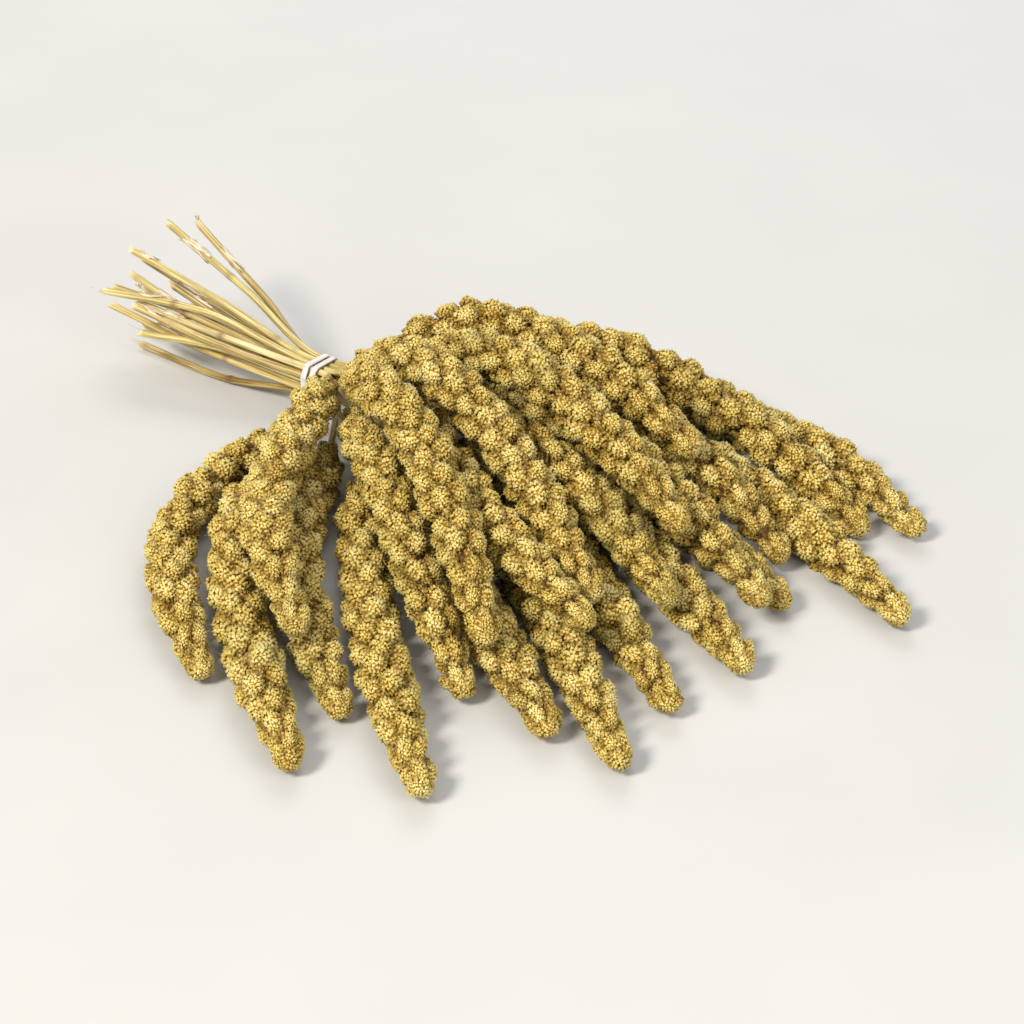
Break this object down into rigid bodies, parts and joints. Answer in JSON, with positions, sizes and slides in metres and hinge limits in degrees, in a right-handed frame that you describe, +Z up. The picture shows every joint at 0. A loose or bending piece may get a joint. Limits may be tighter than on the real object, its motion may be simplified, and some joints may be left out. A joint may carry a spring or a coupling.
{
  "type": "tied bunch of foxtail millet heads",
  "caption": "Dried foxtail millet sprays tied at the stems with an elastic band, lying down with the lobed seed heads fanned out.",
  "frame": {"origin": "middle of the bunch's bounding box, at the surface that it lies on", "axes": "+X along the tied stems from their cut ends towards the heads, +Y to the left of that seen from above, +Z up"},
  "size_m": [0.4194, 0.3304, 0.0657],
  "materials": {
    "seed_head": "dry matt seed clusters, golden ochre with pale yellow and brown grains",
    "straw_stem": "dry straw, pale yellow with a soft sheen along the fibres",
    "band": "matt white elastic"
  },
  "bodies": {
    "root": {"head_01": "seed_head", "head_02": "seed_head", "head_03": "seed_head", "head_04": "seed_head", "head_05": "seed_head", "head_06": "seed_head", "head_07": "seed_head", "head_08": "seed_head", "head_09": "seed_head", "head_10": "seed_head", "head_11": "seed_head", "head_12": "seed_head", "head_13": "seed_head", "head_14": "seed_head", "head_15": "seed_head", "head_16": "seed_head", "head_17": "seed_head", "head_18": "seed_head", "head_19": "seed_head", "head_20": "seed_head", "head_21": "seed_head", "head_22": "seed_head", "stem_01": "straw_stem", "stem_02": "straw_stem", "stem_03": "straw_stem", "stem_04": "straw_stem", "stem_05": "straw_stem", "stem_06": "straw_stem", "stem_07": "straw_stem", "stem_08": "straw_stem", "stem_09": "straw_stem", "stem_10": "straw_stem", "stem_11": "straw_stem", "stem_12": "straw_stem", "stem_13": "straw_stem", "stem_14": "straw_stem", "stem_15": "straw_stem", "stem_16": "straw_stem", "stem_17": "straw_stem", "stem_18": "straw_stem", "stem_19": "straw_stem", "stem_20": "straw_stem", "stem_21": "straw_stem", "stem_22": "straw_stem", "tie": "band"}
  },
  "joints": []
}
